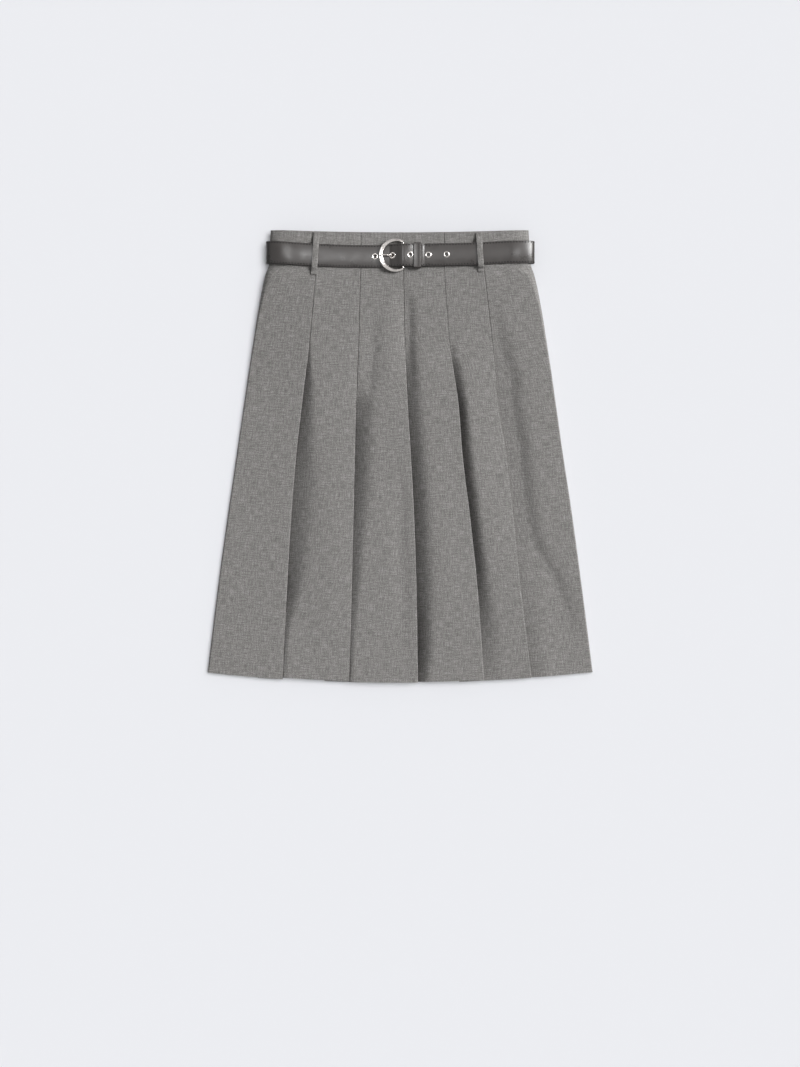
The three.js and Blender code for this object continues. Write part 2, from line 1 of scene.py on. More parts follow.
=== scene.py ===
import json
import math
import bpy
import numpy as np
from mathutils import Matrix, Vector

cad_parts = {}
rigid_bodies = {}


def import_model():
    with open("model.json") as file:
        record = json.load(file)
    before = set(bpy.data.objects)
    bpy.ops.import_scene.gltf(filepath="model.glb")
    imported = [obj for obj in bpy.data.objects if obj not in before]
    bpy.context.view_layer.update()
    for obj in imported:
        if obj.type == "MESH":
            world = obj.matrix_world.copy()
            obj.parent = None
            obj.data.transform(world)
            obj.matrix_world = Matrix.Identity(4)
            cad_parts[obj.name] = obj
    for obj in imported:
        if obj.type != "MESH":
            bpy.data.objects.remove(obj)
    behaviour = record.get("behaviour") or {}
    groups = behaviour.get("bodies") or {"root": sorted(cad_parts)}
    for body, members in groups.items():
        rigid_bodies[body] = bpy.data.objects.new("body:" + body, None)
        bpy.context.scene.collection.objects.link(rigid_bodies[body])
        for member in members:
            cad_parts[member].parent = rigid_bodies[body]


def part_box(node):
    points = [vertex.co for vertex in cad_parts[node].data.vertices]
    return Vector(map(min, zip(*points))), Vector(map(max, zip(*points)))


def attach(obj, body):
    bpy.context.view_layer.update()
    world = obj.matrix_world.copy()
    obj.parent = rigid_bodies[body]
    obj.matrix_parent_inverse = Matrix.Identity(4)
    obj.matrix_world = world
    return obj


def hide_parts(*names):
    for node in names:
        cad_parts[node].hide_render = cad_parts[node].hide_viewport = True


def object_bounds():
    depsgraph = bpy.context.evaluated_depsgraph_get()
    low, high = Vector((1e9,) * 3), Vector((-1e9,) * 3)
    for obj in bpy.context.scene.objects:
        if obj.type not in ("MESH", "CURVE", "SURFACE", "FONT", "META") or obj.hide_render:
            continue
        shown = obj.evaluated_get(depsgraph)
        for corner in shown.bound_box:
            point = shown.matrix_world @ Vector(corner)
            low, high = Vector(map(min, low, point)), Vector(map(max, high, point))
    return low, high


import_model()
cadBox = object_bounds()
mm = 0.001

# A pleated wool skirt lying on its back with its leather belt fastened. Shapes are worked out in working
# millimetres: x to the viewer's right, down from the waist corners to the hem, height off the surface.
sideLow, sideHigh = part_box("front_panel_1")
leftHem = -276.2                      # x of the left hem corner in the levels below
waistY = sideHigh.y / mm              # row-frame y of the waist corners
shiftX = sideLow.x / mm - leftHem     # row-frame x of the working x = 0


def place(x, down, height):
    # working millimetres to the row frame in metres
    x, down, height = np.broadcast_arrays(x, down, height)
    return np.stack([x + shiftX, waistY - down, height], axis=-1) * mm


def smooth(share):
    # an S from 0 to 1: three times the square less twice the cube
    held = np.clip(share, 0, 1)
    return held * held * (3 - 2 * held)


def mix(a, b, share):
    # in a straight line from a to b
    return a + (b - a) * share


def through(places, values, at):
    # a cubic through each pair of rows, with the slope at a row held flat where the column turns
    places, values = np.asarray(places, float), np.asarray(values, float)
    steps = np.diff(places)
    rates = np.diff(values) / steps
    slopes = np.zeros_like(values)
    slopes[0], slopes[-1] = rates[0], rates[-1]
    same = rates[:-1] * rates[1:] > 0
    total = np.where(same, rates[:-1] + rates[1:], 1)
    slopes[1:-1] = np.where(same, 2 * rates[:-1] * rates[1:] / total, 0)
    held = np.clip(at, places[0], places[-1])
    row = np.clip(np.searchsorted(places, held, side="right") - 1, 0, len(places) - 2)
    t = (held - places[row]) / steps[row]
    start, end = values[row], values[row + 1]
    rise, fall = slopes[row] * steps[row], slopes[row + 1] * steps[row]
    return (start * (2 * t**3 - 3 * t**2 + 1) + rise * (t**3 - 2 * t**2 + t)
            + end * (3 * t**2 - 2 * t**3) + fall * (t**3 - t**2))


def column(rows, name):
    return np.array([row[name] for row in rows], float)


def quadsOf(grid, closedAcross=False, closedAlong=False):
    # four corners of every cell of a grid of vertex numbers
    if closedAcross:
        grid = np.concatenate([grid, grid[:, :1]], axis=1)
    if closedAlong:
        grid = np.concatenate([grid, grid[:1]], axis=0)
    corners = [grid[:-1, :-1], grid[:-1, 1:], grid[1:, 1:], grid[1:, :-1]]
    return np.stack(corners, axis=-1).reshape(-1, 4)


def makePiece(name, points, faces, material, uv=None, sharp=40):
    # faces point outward once the volume they enclose is positive
    points = np.asarray(points, float)
    signed = 0
    for part in faces:
        corners = points[np.asarray(part)]
        for k in range(1, corners.shape[1] - 1):
            signed += np.einsum("ij,ij->", corners[:, 0], np.cross(corners[:, k], corners[:, k + 1]))
    faces = [np.asarray(part)[:, ::-1] if signed < 0 else np.asarray(part) for part in faces]
    mesh = bpy.data.meshes.new(name)
    mesh.vertices.add(len(points))
    mesh.vertices.foreach_set("co", np.ascontiguousarray(points, np.float32).ravel())
    flat = np.concatenate([part.ravel() for part in faces])
    sizes = np.concatenate([np.full(len(part), part.shape[1]) for part in faces])
    mesh.loops.add(len(flat))
    mesh.loops.foreach_set("vertex_index", flat.astype(np.int32))
    mesh.polygons.add(len(sizes))
    starts = np.concatenate([[0], np.cumsum(sizes)[:-1]])
    mesh.polygons.foreach_set("loop_start", starts.astype(np.int32))
    mesh.update(calc_edges=True)
    if uv is not None:
        layer = mesh.uv_layers.new(name="cloth")
        layer.uv.foreach_set("vector", np.ascontiguousarray(uv[flat], np.float32).ravel())
    mesh.polygons.foreach_set("use_smooth", np.ones(len(sizes), bool))
    mesh.set_sharp_from_angle(angle=math.radians(sharp))
    mesh.validate()
    mesh.materials.append(material)
    piece = bpy.data.objects.new(name, mesh)
    bpy.context.scene.collection.objects.link(piece)
    return piece


def gridNormals(points):
    # across one way of the grid times along the other, made one long
    along = np.gradient(points, axis=0)
    across = np.gradient(points, axis=1)
    normal = np.cross(across, along)
    return normal / np.maximum(np.linalg.norm(normal, axis=-1, keepdims=True), 1e-12)


def shell(name, centre, thickness, material, uv):
    # a grid of centre points moved half a thickness to either side, closed round its four edges
    normal = gridNormals(centre)
    rows, count = centre.shape[:2]
    points = np.concatenate([centre + normal * thickness / 2, centre - normal * thickness / 2])
    top = np.arange(rows * count).reshape(rows, count)
    under = top + rows * count
    rim = [
        np.stack([top[0], under[0]]), np.stack([under[-1], top[-1]]),
        np.stack([under[:, 0], top[:, 0]]), np.stack([top[:, -1], under[:, -1]]),
    ]
    faces = [quadsOf(top)[:, ::-1], quadsOf(under)] + [quadsOf(part)[:, ::-1] for part in rim]
    both = np.concatenate([uv, uv]).reshape(-1, 2)
    return makePiece(name, points.reshape(-1, 3), faces, material, both)


def ribbon(name, route, across, normal, section, material, closed=False, sharp=40, scale=None):
    # a closed section (across, normal) carried along a route in working millimetres; scale shrinks it at each
    # place, and an open route's ends are capped
    rows, count = len(route), len(section)
    size = np.ones(rows) if scale is None else scale
    points = (route[:, None] + across[:, None] * section[None, :, :1] * size[:, None, None]
              + normal[:, None] * section[None, :, 1:] * size[:, None, None])
    grid = np.arange(rows * count).reshape(rows, count)
    faces = [quadsOf(grid, closedAcross=True, closedAlong=closed)]
    if not closed:
        faces += [grid[:1, ::-1], grid[-1:]]
    lengths = np.concatenate([[0], np.cumsum(np.linalg.norm(np.diff(route, axis=0), axis=1))])
    uv = np.stack(np.meshgrid(section[:, 0], lengths), axis=-1).reshape(-1, 2) * mm
    flat = points.reshape(-1, 3)
    return makePiece(name, place(flat[:, 0], flat[:, 1], flat[:, 2]), faces, material, uv, sharp)


def alongRoute(route, step):
    # a route of corner points made even and smooth: each coordinate passes through them over the chord length
    chord = np.concatenate([[0], np.cumsum(np.linalg.norm(np.diff(route, axis=0), axis=1))])
    at = np.linspace(0, chord[-1], int(chord[-1] / step) + 1)
    return np.stack([through(chord, route[:, k], at) for k in range(route.shape[1])], axis=-1)


def headings(route, closed=False):
    # unit direction at each point, from the point before to the point after
    ahead = np.roll(route, -1, axis=0) - np.roll(route, 1, axis=0) if closed else np.gradient(route, axis=0)
    return ahead / np.linalg.norm(ahead, axis=1, keepdims=True)


def arc(centreX, centreY, radiusX, radiusY, fromDegrees, toDegrees, steps):
    # points on an ellipse: the centre plus each radius times the cosine or sine
    angle = np.radians(np.linspace(fromDegrees, toDegrees, steps + 1))
    return np.stack([centreX + radiusX * np.cos(angle), centreY + radiusY * np.sin(angle)], axis=-1)


def fit(piece, node):
    # the piece rides the root body and stands for its node
    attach(piece, "root")
    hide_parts(node)
    return piece


def roundedBar(width, height, radius, steps=3):
    # outline of a bar with round corners, anticlockwise
    angles = np.linspace(0, math.pi / 2, steps + 1)
    parts = []
    for turn, (sx, sy) in enumerate([(1, 1), (-1, 1), (-1, -1), (1, -1)]):
        angle = angles + turn * math.pi / 2
        parts.append(np.stack([sx * (width / 2 - radius) + radius * np.cos(angle),
                               sy * (height / 2 - radius) + radius * np.sin(angle)], axis=-1))
    return np.concatenate(parts)


def colour(code):
    # sRGB hex to linear
    parts = [int(code[i:i + 2], 16) / 255 for i in (1, 3, 5)]
    return [part / 12.92 if part <= 0.04045 else ((part + 0.055) / 1.055) ** 2.4 for part in parts] + [1]


def addNode(tree, kind, settings=None, **links):
    # one node with its settings; a socket is named with _ for spaces, or i and its number, and takes a value or
    # another node's output
    node = tree.nodes.new(kind)
    for key, value in (settings or {}).items():
        setattr(node, key, value)
    for key, value in links.items():
        wanted = key.replace("_", " ")
        socket = node.inputs[int(key[1:])] if key[0] == "i" and key[1:].isdigit() else node.inputs[wanted]
        if isinstance(value, bpy.types.NodeSocket):
            tree.links.new(value, socket)
        else:
            socket.default_value = value
    return node


def newMaterial(name):
    material = bpy.data.materials.new(name)
    material.use_nodes = True
    tree = material.node_tree
    tree.nodes.clear()
    out = addNode(tree, "ShaderNodeOutputMaterial")
    shader = addNode(tree, "ShaderNodeBsdfPrincipled")
    tree.links.new(shader.outputs[0], out.inputs[0])
    return material, tree, shader


wool = {
    "yarnDark": "#62605e", "yarnMiddle": "#807e7c", "yarnLight": "#a19f9d",
    "slubLong": 13.0, "slubWide": 1.3,     # mm, thick and thin places in the yarns
    "thread": 1.3,                         # mm; real ones lie 0.5 mm apart, drawn coarser so that they show
    "slubs": 0.42,                         # weight of the slubs beside the flecks
    "darkBelow": 0.52, "lightAbove": 1.32,  # sums of the two at which the yarn is darkest and lightest
    "roughness": 0.9, "sheen": 0.1, "bump": 0.2,
}


def woolMelange():
    # worsted wool suiting, plain weave of mixed grey yarns: short crossed streaks, matt, a faint nap
    material, tree, shader = newMaterial("grey melange wool suiting")
    uv = addNode(tree, "ShaderNodeUVMap", {"uv_map": "cloth"}).outputs[0]

    def streaks(acrossSize, alongSize, detail):
        scaled = addNode(tree, "ShaderNodeMapping", Vector=uv,
                         Scale=(1 / (acrossSize * mm), 1 / (alongSize * mm), 1))
        return addNode(tree, "ShaderNodeTexNoise", {"noise_dimensions": "2D"}, Vector=scaled.outputs[0],
                       Scale=1.0, Detail=detail, Roughness=0.6).outputs[0]

    weft = streaks(wool["slubLong"], wool["slubWide"], 0.0)
    warp = streaks(wool["slubWide"], wool["slubLong"], 0.0)
    flecks = streaks(wool["thread"], wool["thread"], 1.0)
    crossed = addNode(tree, "ShaderNodeMath", {"operation": "ADD"}, i0=weft, i1=warp).outputs[0]
    mixed = addNode(tree, "ShaderNodeMath", {"operation": "MULTIPLY_ADD"},
                    i0=crossed, i1=wool["slubs"], i2=flecks).outputs[0]
    ramp = addNode(tree, "ShaderNodeValToRGB")
    spread = addNode(tree, "ShaderNodeMapRange", i0=mixed, i1=wool["darkBelow"], i2=wool["lightAbove"])
    tree.links.new(spread.outputs[0], ramp.inputs[0])
    ramp.color_ramp.elements[0].color = colour(wool["yarnDark"])
    ramp.color_ramp.elements[1].color = colour(wool["yarnLight"])
    ramp.color_ramp.elements.new(0.5).color = colour(wool["yarnMiddle"])
    bump = addNode(tree, "ShaderNodeBump", Height=mixed, Strength=wool["bump"], Distance=0.3 * mm)
    tree.links.new(ramp.outputs[0], shader.inputs["Base Color"])
    tree.links.new(bump.outputs[0], shader.inputs["Normal"])
    shader.inputs["Roughness"].default_value = wool["roughness"]
    shader.inputs["Sheen Weight"].default_value = wool["sheen"]
    shader.inputs["IOR"].default_value = 1.4
    shader.inputs["Specular IOR Level"].default_value = 0.2
    return material


leather = {
    "face": "#393432", "deep": "#312d2b",
    "grain": 0.9, "cloud": 14,             # mm, pores and slow changes of tone
    "roughness": 0.3, "bump": 0.12,
}


def satinLeather():
    # smooth aniline-dyed cowhide with a satin dressing: near black, broad soft highlights, very fine grain
    material, tree, shader = newMaterial("anthracite satin cowhide")
    at = addNode(tree, "ShaderNodeTexCoord").outputs["Object"]
    grain = addNode(tree, "ShaderNodeTexVoronoi", {"feature": "DISTANCE_TO_EDGE"}, Vector=at,
                    Scale=1 / (leather["grain"] * mm)).outputs[0]
    cloudy = addNode(tree, "ShaderNodeTexNoise", Vector=at, Scale=1 / (leather["cloud"] * mm),
                     Detail=3.0).outputs[0]
    tint = addNode(tree, "ShaderNodeMix", {"data_type": "RGBA"}, Factor=cloudy)
    tint.inputs[6].default_value = colour(leather["deep"])
    tint.inputs[7].default_value = colour(leather["face"])
    tree.links.new(tint.outputs[2], shader.inputs["Base Color"])
    dull = addNode(tree, "ShaderNodeMapRange", i0=cloudy, i1=0.3, i2=0.7,
                   i3=leather["roughness"] - 0.04, i4=leather["roughness"] + 0.06)
    tree.links.new(dull.outputs[0], shader.inputs["Roughness"])
    bump = addNode(tree, "ShaderNodeBump", Height=grain, Strength=leather["bump"], Distance=0.1 * mm)
    tree.links.new(bump.outputs[0], shader.inputs["Normal"])
    return material


metal = {"nickel": "#c4bfbc", "roughness": 0.13, "wear": 2.5}     # wear in mm


def polishedNickel():
    # cast zinc with polished nickel plating: a warm bright grey with crisp reflections, faintly brushed
    material, tree, shader = newMaterial("polished nickel plate")
    at = addNode(tree, "ShaderNodeTexCoord").outputs["Object"]
    wear = addNode(tree, "ShaderNodeTexNoise", Vector=at, Scale=1 / (metal["wear"] * mm), Detail=4.0).outputs[0]
    dull = addNode(tree, "ShaderNodeMapRange", i0=wear, i1=0.3, i2=0.7,
                   i3=metal["roughness"] - 0.05, i4=metal["roughness"] + 0.08)
    tree.links.new(dull.outputs[0], shader.inputs["Roughness"])
    shader.inputs["Base Color"].default_value = colour(metal["nickel"])
    shader.inputs["Metallic"].default_value = 1.0
    return material


def waxedThread(name, code):
    # waxed polyester thread: round, tight, a little shine
    material, tree, shader = newMaterial(name)
    at = addNode(tree, "ShaderNodeTexCoord").outputs["Object"]
    ply = addNode(tree, "ShaderNodeTexNoise", Vector=at, Scale=1 / (0.5 * mm), Detail=2.0).outputs[0]
    bump = addNode(tree, "ShaderNodeBump", Height=ply, Strength=0.3, Distance=0.1 * mm)
    tree.links.new(bump.outputs[0], shader.inputs["Normal"])
    shader.inputs["Base Color"].default_value = colour(code)
    shader.inputs["Roughness"].default_value = 0.8
    return material


woolCloth = woolMelange()
beltLeather = satinLeather()
buckleMetal = polishedNickel()
darkThread = waxedThread("black waxed thread", "#060606")
greyThread = waxedThread("grey waxed thread", "#6e6b69")
print("materials made")

skirt = {
    "thickness": 0.8, "gap": 0.15, "length": 632, "hemTurn": 10,
    "waistSag": 3.9, "hemSag": 13.6,         # how much lower the middle lies than the corners
    "seamRise": 1.0,                         # width over which a closed pleat comes out of its groove
    "lowestUnderlay": 4.0,                   # least height of a front pleat's hidden cloth
    "leftFill": 0.6, "rightFill": 0.8,       # how far the side seams are filled up towards the panel's height
    "rightRamp": 1.8,                        # power of the right panel's fall to its seam
    "hold": 0.25,                            # share of an opening's reach that keeps its full slope
    "closedReach": 3,                        # an opening's reach in the back, where the pleats stay closed
    "crowding": 1.4,                         # power that crowds columns towards a fold edge
    "hemPower": 12,                          # power by which the panels' shifts at the hem fade out upwards
    "frontStep": 2.6, "backStep": 5.0,       # mm between the rows of a panel's grid
    "patternShift": 0.37,                    # metres of weave between panels, so that none repeats another
}
# down: below the waist corners.  left, right: side seams.  f1 to f5: the pleats' fold edges.  depth: pleat depth.
# back: height of the back's outer face.  side: height of the front beside the side seams.  faces: height of each
# front panel's face.  curl: width of the round turn at the side seams.
levels = [
    {"down": 0, "left": -185, "right": 184, "f1": -115.8, "f2": -55.8, "f3": 3.4, "f4": 62.9, "f5": 111.5,
     "depth": 26, "back": 4, "side": 21.4, "curl": 34, "faces": (22, 22, 22, 22, 22, 22)},
    {"down": 16, "left": -186, "right": 185, "f1": -117, "f2": -56, "f3": 3.8, "f4": 63, "f5": 114,
     "depth": 26, "back": 4, "side": 21.4, "curl": 34, "faces": (22, 22, 22, 22, 22, 22)},
    {"down": 48, "left": -187.2, "right": 187, "f1": -119.6, "f2": -56.4, "f3": 4.4, "f4": 63.2, "f5": 118.9,
     "depth": 26, "back": 4, "side": 21, "curl": 34, "faces": (22, 22, 22, 22, 22, 22)},
    {"down": 64, "left": -193, "right": 192.5, "f1": -120.8, "f2": -56.7, "f3": 4.8, "f4": 63.7, "f5": 121,
     "depth": 26, "back": 3.6, "side": 18.5, "curl": 14, "faces": (21.6, 21.6, 21.6, 21.6, 21.6, 21.6)},
    {"down": 110, "left": -202.7, "right": 202.6, "f1": -125, "f2": -58, "f3": 5.8, "f4": 67, "f5": 126.5,
     "depth": 26, "back": 0, "side": 10.5, "curl": 5, "faces": (19.2, 19.5, 19.5, 19.5, 19.3, 18.8)},
    {"down": 162, "left": -211, "right": 211, "f1": -130, "f2": -59.5, "f3": 7, "f4": 71.5, "f5": 132.7,
     "depth": 27, "back": 0, "side": 6, "curl": 3, "faces": (16.7, 17.2, 17.5, 17.5, 16.5, 15.5)},
    {"down": 200, "left": -216.8, "right": 217, "f1": -134.8, "f2": -61.2, "f3": 9, "f4": 77.5, "f5": 136,
     "depth": 28, "back": 0, "side": 4.8, "curl": 2.6, "faces": (14.2, 16.4, 17.2, 17.5, 15, 13.6)},
    {"down": 242, "left": -223, "right": 223, "f1": -140, "f2": -62.9, "f3": 11.2, "f4": 83.7, "f5": 139.4,
     "depth": 29, "back": 0, "side": 4.2, "curl": 2.4, "faces": (12.6, 16, 17, 17.5, 14.5, 12.6)},
    {"down": 314, "left": -233.4, "right": 233.2, "f1": -148.4, "f2": -64.6, "f3": 15.7, "f4": 89.4, "f5": 151.6,
     "depth": 30, "back": 0, "side": 4, "curl": 2.4, "faces": (11.6, 15.5, 17, 17.5, 14, 11.6)},
    {"down": 400, "left": -246, "right": 246.2, "f1": -155.6, "f2": -66.4, "f3": 20.2, "f4": 100, "f5": 161.6,
     "depth": 32, "back": 0, "side": 4, "curl": 2.4, "faces": (11, 15.5, 17, 17.5, 14, 10.8)},
    {"down": 500, "left": -259.9, "right": 259.8, "f1": -161.6, "f2": -68.9, "f3": 23.7, "f4": 110.7, "f5": 172,
     "depth": 34, "back": 0, "side": 4, "curl": 2.4, "faces": (11, 15, 16.5, 17, 13.5, 10.2)},
    {"down": 632, "left": -276.2, "right": 276.6, "f1": -167.7, "f2": -72.1, "f3": 25.7, "f4": 120.3, "f5": 188.2,
     "depth": 36, "back": 0, "side": 4, "curl": 2.4, "faces": (12.3, 13.5, 15.8, 16.5, 13, 9.5)},
]
# how each front pleat opens below its stitching: the slope with which the next panel comes up from under the
# fold edge, and how far from the edge it reaches the face
pleatOpenings = [
    {"down": 150, "slope": (0, 0, 0.05, 0, 0), "reach": (3, 3, 14, 8, 4)},
    {"down": 172, "slope": (0.55, 0.1, 0.25, 0.2, 0.05), "reach": (6, 4, 26, 14, 10)},
    {"down": 200, "slope": (0.66, 0.15, 0.38, 0.45, 0.1), "reach": (14, 8, 28, 19, 24)},
    {"down": 226, "slope": (0.62, 0.22, 0.44, 0.68, 0.11), "reach": (21, 24, 28, 18, 30)},
    {"down": 250, "slope": (0.58, 0.38, 0.48, 0.85, 0.11), "reach": (25, 36, 29, 18, 30)},
    {"down": 300, "slope": (0.5, 0.5, 0.53, 0.95, 0.1), "reach": (33, 34, 30, 20, 30)},
    {"down": 360, "slope": (0.4, 0.5, 0.54, 1, 0.09), "reach": (44, 31, 30, 21, 30)},
    {"down": 430, "slope": (0.5, 0.46, 0.54, 0.85, 0.09), "reach": (42, 24, 29, 22, 30)},
    {"down": 500, "slope": (0.6, 0.5, 0.56, 0.55, 0.1), "reach": (31, 17, 30, 25, 40)},
    {"down": 580, "slope": (0.42, 0.38, 0.74, 0.24, 0.14), "reach": (9, 9, 29, 36, 30)},
    {"down": 632, "slope": (0.2, 0.3, 0.6, 0.12, 0.05), "reach": (9, 8, 22, 30, 20)},
]
# soft creases in the front: places down and across, height (below zero is a trough) and how far the slope
# reaches to the left and to the right
creases = [
    {"down": (100, 130, 170, 210, 235, 265), "x": (-33, -36, -39, -43, -48, -56),
     "height": (0, -1.1, -2.1, -2.5, -2, 0), "left": 26, "right": 9},
    {"down": (75, 90, 130, 155, 180, 215, 250), "x": (10, 11, 12.5, 13, 14, 16, 18),
     "height": (0, -1.6, -3.4, -3.8, -2.2, -1, 0), "left": 16, "right": 8},
    {"down": (95, 130, 170, 210, 250, 300, 360, 430, 465, 500, 540, 561, 600),
     "x": (128, 136, 144, 157, 159, 168, 175, 185, 202, 223, 235, 243, 250),
     "height": (0, -1.7, -3.2, -4, -4.4, -4.6, -4.2, -3.6, -2.8, -2.8, -2.2, -1.6, 0), "left": 40, "right": 13},
    {"down": (140, 162, 190, 215), "x": (71, 72, 76, 80), "height": (0, -1, -1, 0), "left": 16, "right": 8},
    {"down": (320, 360, 430, 500, 580, 620), "x": (1, 0, 2, 5, 3, 3),
     "height": (0, -1.1, -1.2, -1.2, -0.8, 0), "left": 13, "right": 11},
    {"down": (280, 360, 430, 500, 560), "x": (44, 49, 57, 63, 70), "height": (0, 1.2, 1.6, 1.5, 0),
     "left": 20, "right": 26},
    {"down": (240, 300, 430, 520, 580), "x": (-95, -95, -96, -98, -98), "height": (0, 0.9, 1.3, 1.3, 0),
     "left": 25, "right": 25},
    {"down": (575, 605, 632), "x": (200, 204, 208), "height": (0, 1.2, 2.4), "left": 18, "right": 24},
]
# how much lower each front panel's hem hangs at its left and right end
hemShifts = [(0, 1.7), (-1.6, 0.4), (0.9, 1.1), (0.5, -0.6), (1, 0.2), (0, 0)]
foldNames = ["f1", "f2", "f3", "f4", "f5"]
lastPanel = len(foldNames)
skin = skirt["thickness"] / 2
layerStep = skirt["thickness"] + skirt["gap"]
foldRadius = layerStep / 2
foldReach = foldRadius + skin


def levelAt(down, name):
    # one of the levels' columns, read at any height of the skirt
    return through(column(levels, "down"), column(levels, name), down)


def openingAt(down, name, pleat):
    # one pleat's slope or reach, read at any height of the skirt
    values = [row[name][pleat] for row in pleatOpenings]
    return through(column(pleatOpenings, "down"), values, down)


def outerHeight(panel, isFront, x, down):
    # the side seams turn round an ellipse; the outer front panels slope evenly from there up to their own height
    left, right, curl = levelAt(down, "left"), levelAt(down, "right"), levelAt(down, "curl")
    side, back = levelAt(down, "side"), levelAt(down, "back")
    if not isFront:
        return back + 0 * x
    face = through(column(levels, "down"), [row["faces"][panel] for row in levels], down)
    if panel == 0:
        seam, fold = left + curl, levelAt(down, foldNames[0])
        side = mix(side, face, skirt["leftFill"])
        return mix(side, face, np.clip((x - seam) / (fold - seam), 0, 1))
    if panel == lastPanel:
        seam, fold = right - curl, levelAt(down, foldNames[-1])
        side = mix(side, face, skirt["rightFill"])
        return mix(face, side, np.clip((x - fold) / (seam - fold), 0, 1) ** skirt["rightRamp"])
    return face + 0 * x


def creaseHeight(x, down):
    # each crease is a soft ridge or trough along its own curve, bell-shaped across with its own reach each way
    total = np.zeros(np.broadcast(x, down).shape)
    for crease in creases:
        offset = x - through(crease["down"], crease["x"], down)
        height = through(crease["down"], crease["height"], down)
        total = total + height * np.exp(-(offset / np.where(offset < 0, crease["left"], crease["right"])) ** 2)
    return total


def sagged(x, down):
    # each level hangs in a parabola between its side seams
    left, right = levelAt(down, "left"), levelAt(down, "right")
    across = (2 * x - left - right) / (right - left)
    return down + (1 - across**2) * mix(skirt["waistSag"], skirt["hemSag"], down / skirt["length"])


def panelCentre(panel, isFront, rowStep, fine):
    # columns run from the hidden inner fold of the left pleat, up over the face, round the right fold edge and
    # back underneath; rows run from waist to hem
    flip = 1 if isFront else -1
    down = np.linspace(0, skirt["length"], int(skirt["length"] / rowStep) + 1)[:, None]
    left = levelAt(down, "left") if isFront else -levelAt(down, "right")
    right = levelAt(down, "right") if isFront else -levelAt(down, "left")
    curl, depth = levelAt(down, "curl"), levelAt(down, "depth")
    seam = (levelAt(down, "side") + levelAt(down, "back")) / 2 + flip * skirt["gap"]
    xs, heights = [], []

    def topAt(x, owner):
        crease = creaseHeight(x, down) if isFront else 0
        return outerHeight(owner, isFront, flip * x, down) + crease

    def addLayer(x, below, top=None):
        xs.append(flip * x)
        heights.append((topAt(x, panel) if top is None else top) - flip * below)

    def addTurn(edge, inward):
        angle = np.linspace(0, math.pi / 2, 12 * fine)[None, :]
        if inward < 0:
            angle = angle[:, ::-1]
        x = edge + inward * mix(skin, curl, 1 - np.cos(angle))
        top = topAt(edge + inward * curl, panel) - flip * skin
        xs.append(flip * x)
        heights.append(mix(seam, top, np.sin(angle)))

    if panel == 0:
        addTurn(left, 1)
        faceStart = left + curl
    else:
        fold = levelAt(down, foldNames[panel - 1])
        slope = openingAt(down, "slope", panel - 1) if isFront else np.zeros_like(down)
        reach = openingAt(down, "reach", panel - 1) if isFront else np.full_like(down, skirt["closedReach"])
        # the panel starts at least two layers under the one it comes out from; its slope holds for part of the
        # reach, then fades out smoothly, and a closed pleat makes up the rest inside the seam's groove
        hold = skirt["hold"]
        climb = slope * reach * (1 + hold) / 2
        above = topAt(fold, panel - 1)
        if isFront:
            climb = np.minimum(climb, topAt(fold, panel) - skirt["lowestUnderlay"])
        needed = flip * (topAt(fold, panel) - above) + 2 * layerStep
        rest = np.maximum(needed - climb, 0)
        start = topAt(fold, panel) - flip * (climb + rest)
        hidden = np.linspace(0, 1, 6 * fine)[None, :]
        under = fold - depth * (1 - hidden)
        addLayer(under, skin, mix(topAt(under, panel - 1) - flip * 2 * layerStep, start, smooth(hidden)))
        spread = np.linspace(0, 1, 12 * fine)[None, 1:] ** skirt["crowding"]
        offset = spread * np.maximum(skirt["seamRise"], reach)
        part = np.minimum(offset / reach, 1)
        fade = np.maximum((part - hold) / (1 - hold), 0)
        fading = (1 - hold) * (0.5 - fade + fade**3 - fade**4 / 2)
        coming = (np.maximum(hold - part, 0) + fading) / ((1 + hold) / 2)
        addLayer(fold + offset, skin + climb * coming + rest * (1 - smooth(offset / skirt["seamRise"])))
        faceStart = fold + np.maximum(skirt["seamRise"], reach)
    isLast = panel == lastPanel
    faceEnd = right - curl if isLast else levelAt(down, foldNames[panel]) - foldReach
    addLayer(mix(faceStart, faceEnd, np.linspace(0, 1, 20 * fine)[None, 1:]), skin)
    if isLast:
        addTurn(right, -1)
    else:
        angle = np.linspace(math.pi / 2, -math.pi / 2, 5 * fine)[None, 1:]
        xs.append(flip * (faceEnd + foldRadius * np.cos(angle)))
        heights.append(topAt(faceEnd, panel) - flip * (foldReach - foldRadius * np.sin(angle)))
        back = np.linspace(0, 1, 4 * fine)[None, 1:]
        fold = levelAt(down, foldNames[panel])
        addLayer(mix(faceEnd, fold - depth, back), skin + layerStep)
    x = np.concatenate([np.broadcast_to(part, (len(down), part.shape[1])) for part in xs], axis=1)
    height = np.concatenate([np.broadcast_to(part, (len(down), part.shape[1])) for part in heights], axis=1)
    atHem = (down / skirt["length"]) ** skirt["hemPower"] if isFront else 0
    share = np.linspace(0, 1, x.shape[1])[None, :]
    lower = sagged(x, down) + atHem * mix(*hemShifts[panel], share)
    return place(x, lower, height), down


